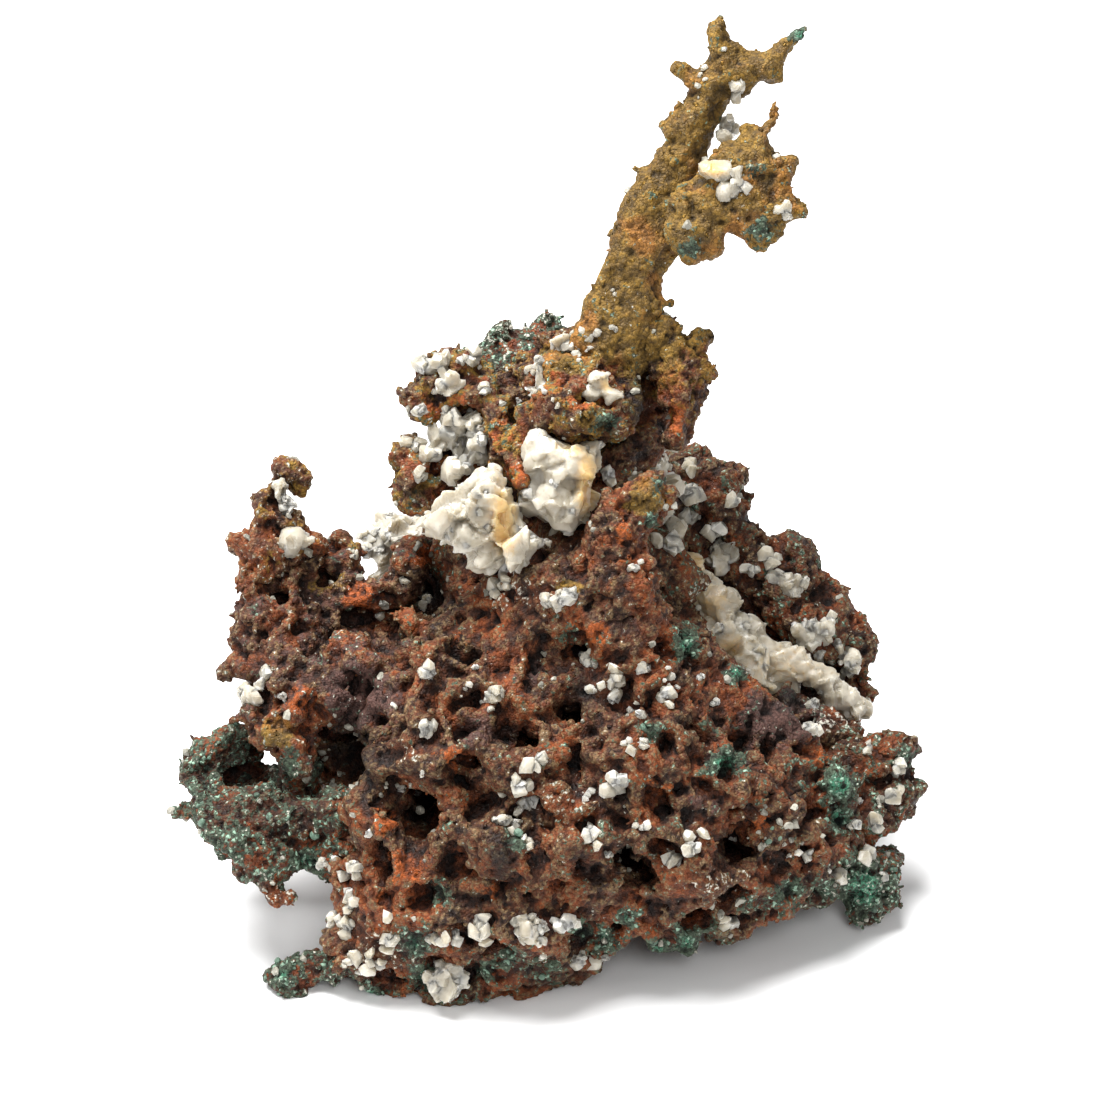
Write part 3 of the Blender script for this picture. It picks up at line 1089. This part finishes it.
def low_front(ground, picker, nests, grey, green):
    """Adds grains to the lower front near the nests."""
    for _ in range(TRIES_ON_FRONT):
        across, up = picker.uniform(-44, 66), picker.triangular(-84, -12, -52)
        place, facing, point = ground.at(across, up)
        if not place or ground.values["deep"][point] < PROUD_ON_FRONT or from_nests(nests, place) > FRONT_NEST_REACH:
            continue
        long = picker.uniform(0.5, 1.0) ** 2 * 1.9
        shape = (long, long * picker.uniform(0.6, 0.9), long * picker.uniform(0.6, 1.0))
        if picker.random() < 0.75:
            grey.append((picker.choice(chips), bed(place, facing, shape, 0.4, picker)))
        elif up < -50 or ground.values["green"][point] > 0.2:
            green.append((picker.choice(knobs), bed(place, facing, shape, 0.5, picker)))


def fine_grains(ground, picker):
    """The small grains of calcite and malachite, and the knobs and twigs of copper."""
    grey, green, rough = [], [], []
    nests = np.array([ground.anywhere(picker, PROUD_ENOUGH)[0] for _ in range(NESTS)])
    all_over(ground, picker, nests, grey, green, rough)
    at_spikes(ground, picker, rough)
    low_front(ground, picker, nests, grey, green)
    finish(copies_as_one("grey_grains", grey), "grey_grain")
    finish(copies_as_one("malachite_grains", green), "malachite_grain")
    knobbles = copies_as_one("copper_knobbles", [(mesh, place) for mesh, place, _ in rough])
    counts = [len(mesh.vertices) for mesh, _, _ in rough]
    for label in SKIN_VALUES:
        store(knobbles, label, np.repeat(ground.values[label][[point for _, _, point in rough]], counts))
    finish(knobbles, "copper_crust")
    pick(knobbles)
    bpy.ops.object.shade_smooth()


# ---- floor and lights ----

def floor_material():
    material = bpy.data.materials.new("pale_floor")
    material.use_nodes = True
    skin = material.node_tree.nodes["Principled BSDF"]
    skin.inputs["Base Color"].default_value = (0.92, 0.92, 0.92, 1)
    skin.inputs["Roughness"].default_value = 0.9
    return material


def soft_light(name, place, aim, size, power):
    data = bpy.data.lights.new(name, "AREA")
    data.shape = "DISK"
    data.size = size
    data.energy = power
    light = bpy.data.objects.new(name, data)
    light.location = place
    light.rotation_euler = (Vector(place) - Vector(aim)).to_track_quat("Z", "Y").to_euler()
    bpy.context.scene.collection.objects.link(light)


# ---- build ----

copper_crust_material()
calcite_material("milky_calcite", 0.5, (1.0, 0.92, 0.8))
grain_material("grey_grain", tone(78, 76, 66), tone(178, 174, 160), 0.45)
grain_material("malachite_grain", tone(42, 52, 42), tone(108, 138, 118), 0.55)

BODY_LEFT_CUTS = ((BACK, NEAR_SIDE), (RIGHT, NEAR_SIDE))
BODY_RIGHT_CUTS = ((BACK, NEAR_SIDE), (RIGHT, FAR_SIDE))
HORN_NODES = ("horn_stem", "horn_tip", "horn_left_prong", "horn_right_prong")

grown = [
    crust("body_front_left", ("copper_mass",), 0.77, RUST, cuts=BODY_LEFT_CUTS, dents=DENTS,
          hole=5.4),
    crust("body_front_right", ("copper_mass",), 0.77, RUST, cuts=BODY_RIGHT_CUTS, dents=DENTS,
          hole=5.4),
    crust("body_rear", ("copper_mass",), 1.1, REAR, cuts=((BACK, FAR_SIDE),)),
    crust("horn_crust", HORN_NODES, 0.55, HORN,
          start=blade("horn_crust", HORN_OUTLINE, 6.0, 8.5, lean=0.16, level=38), soften=5,
          grow=-0.5, swell=1.0, hole=0.9, knob=0.4, nodule=0.2, grit=0.3, pit=0.4),
    crust("horn_branch_crust", ("horn_side_branch",), 0.55, HORN,
          start=blade("horn_branch_crust", BRANCH_OUTLINE, 15.5, 7.5), soften=5,
          grow=-0.4, swell=1.2, hole=1.3, knob=0.5, nodule=0.3, grit=0.3, pit=0.4),
    crust("head_crust", ("head",), 0.64, HEAD, hole=2.6, knob=0.8, nodule=0.6),
    crust("claw_crust", ("head_claw",), 0.55, RUST,
          start=with_nodes(blade("claw_crust", CLAW_OUTLINE, 4.5, 8.0), ("head_claw",)), soften=5,
          grow=0.2, swell=1.0, hole=1.5, knob=0.5, nodule=0.4),
    crust("fin_crust", (), 0.55, RUST, start=blade("fin_crust", FIN_OUTLINE, 16.0, 8.5),
          grow=-0.2, swell=1.2, hole=1.8, knob=0.6, nodule=0.5),
    crust("spire_crust", ("rear_spires",), 0.6, SPIRE, swell=1.1, hole=1.4, knob=0.8),
    crust("shoulder_crust", ("left_shoulder",), 0.65, SHOULDER, dents=LEFT_DENTS, hole=3.8),
    crust("spur_crust", ("left_spur",), 0.55, SPUR, swell=1.0, hole=1.6, knob=0.7),
    crust("wing_crust", ("left_wing",), 0.6, LEAFY, dents=LEFT_DENTS, swell=1.2, hole=2.6, knob=0.7),
    crust("pendant_crust", (), 0.4, PENDANT,
          start=blade("pendant_crust", PENDANT_OUTLINE, 4.5, 3.0), soften=2,
          grow=0.0, swell=0.6, hole=0.4, knob=0.4, nodule=0.3, grit=0.3, pit=0.3),
    crust("foot_crust", ("front_foot",), 0.55, FOOT, swell=1.0, hole=1.4, knob=0.8),
    crust("right_lobe_crust", ("right_lobe",), 0.6, RIGHT_LOBE, hole=2.4, knob=0.8),
    crust("right_foot_crust", ("right_foot",), 0.6, RIGHT_FOOT, hole=2.4, knob=0.8),
    crust("ridge_crust", ("back_ridge",), 0.68, RIDGE, hole=3.4),
]

chips = [chip_template(seed) for seed in range(8)]
knobs = [nodule_template(seed, 2) for seed in range(4)]
small_knobs = [nodule_template(seed, 1) for seed in range(4)]
twigs = [twig_template(seed) for seed in range(5)]
for node in sorted(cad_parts):
    if not node.startswith("calcite_"):
        continue
    name = node.replace("calcite_", "crystal_")
    if node in ("calcite_head_front", "calcite_horn_amber"):
        crystal(name, node, 0.35, 60.0, (0.8, 1.4), YELLOW, voxel_mm=0.35, sink=0.35)
    elif node == "calcite_block":
        crystal(name, node, 0.8, 70.0, (1.0, 2.2), STAINS, voxel_mm=0.4, soften=2)
    elif node == "calcite_cluster":
        crystal(name, node, 1.7, 60.0, (1.2, 2.6), STAINS, start=blade(name, CLUSTER_OUTLINE, 13.0, 9.0),
                voxel_mm=0.4, sink=0.75, soften=2)
    elif node == "calcite_vein":
        crystal(name, node, 1.0, 90.0, (1.4, 3.2), STAINS, start=blade(name, VEIN_OUTLINE, -17.6, 10.0),
                sink=0.75, soften=2)
    else:
        crystal(name, node, 1.2, 40.0, (1.4, 3.2), STAINS)

ground = Ground(grown)
picker = random.Random(11)
calcite_grains(ground, picker)
fine_grains(ground, picker)


# ---- floor, lights and camera ----

bare_selection()
bpy.ops.mesh.primitive_plane_add(size=8, location=(0, 0, 0))
floor = bpy.context.object
floor.name = "floor"
floor.data.materials.append(floor_material())

soft_light("overhead", (-0.2, 0.1, 0.9), (0, 0, 0.05), 0.6, 23)
soft_light("front_fill", (0.2, -0.8, 0.8), (0, 0, 0.06), 0.5, 3.8)
soft_light("left_fill", (-0.8, -0.3, 0.4), (0, 0, 0.06), 0.4, 2.5)

world = bpy.data.worlds.new("studio")
world.use_nodes = True
sky = world.node_tree.nodes["Background"].inputs
sky["Color"].default_value = (1, 1, 1, 1)
sky["Strength"].default_value = 0.31
bpy.context.scene.world = world
bpy.context.scene.view_settings.view_transform = "Standard"

camera_data = bpy.data.cameras.new("camera")
camera_data.sensor_width = SENSOR_MM
camera_data.lens = SENSOR_MM * CAMERA_DISTANCE / PICTURE_WIDTH
camera_data.clip_start = 0.01
camera = bpy.data.objects.new("camera", camera_data)
camera.location = EYE
camera.rotation_euler = TOWARDS.to_track_quat("Z", "Y").to_euler()
bpy.context.scene.collection.objects.link(camera)
bpy.context.scene.camera = camera
